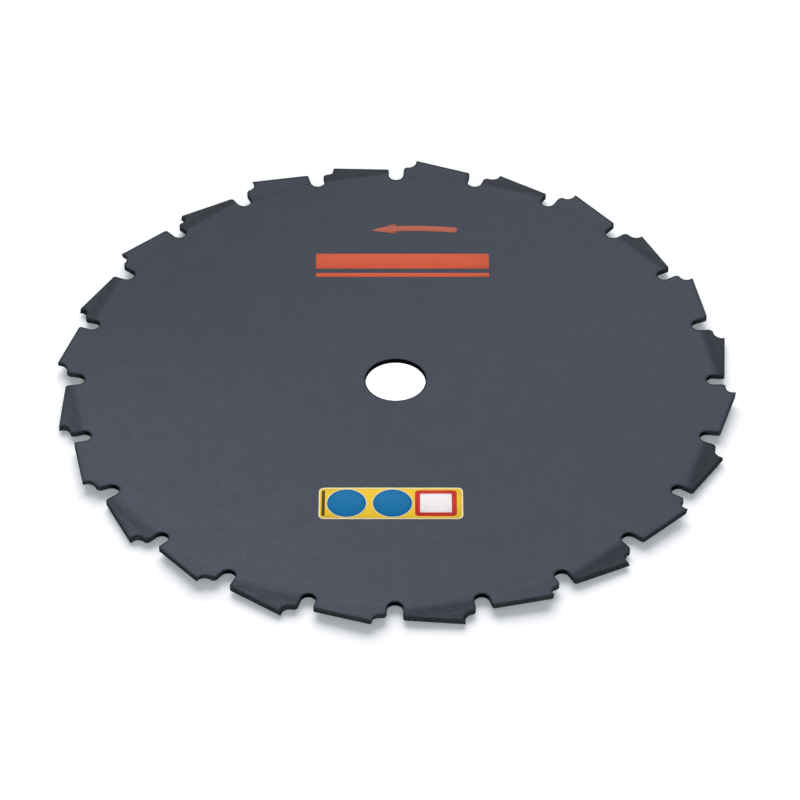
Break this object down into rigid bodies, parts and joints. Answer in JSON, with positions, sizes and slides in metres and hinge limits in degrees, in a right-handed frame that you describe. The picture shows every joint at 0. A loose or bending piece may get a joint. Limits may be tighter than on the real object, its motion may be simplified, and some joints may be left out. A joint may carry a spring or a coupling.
{
  "type": "brush cutter blade",
  "caption": "Round steel saw blade for a brush cutter, with a plain bore and alternately set chisel teeth with round gullets and filed notches.",
  "frame": {"origin": "centre of the bore, halfway through the sheet", "axes": "+Z out of the upper, printed face along the bore; the blade cuts anticlockwise seen from +Z; +X along the baseline of the print, +Y towards the top of the print"},
  "size_m": [0.2246, 0.2246, 0.0036],
  "materials": {
    "blade_steel": "satin dark blue-grey paint over hardened steel"
  },
  "bodies": {
    "root": {"blade": "blade_steel"}
  },
  "joints": []
}
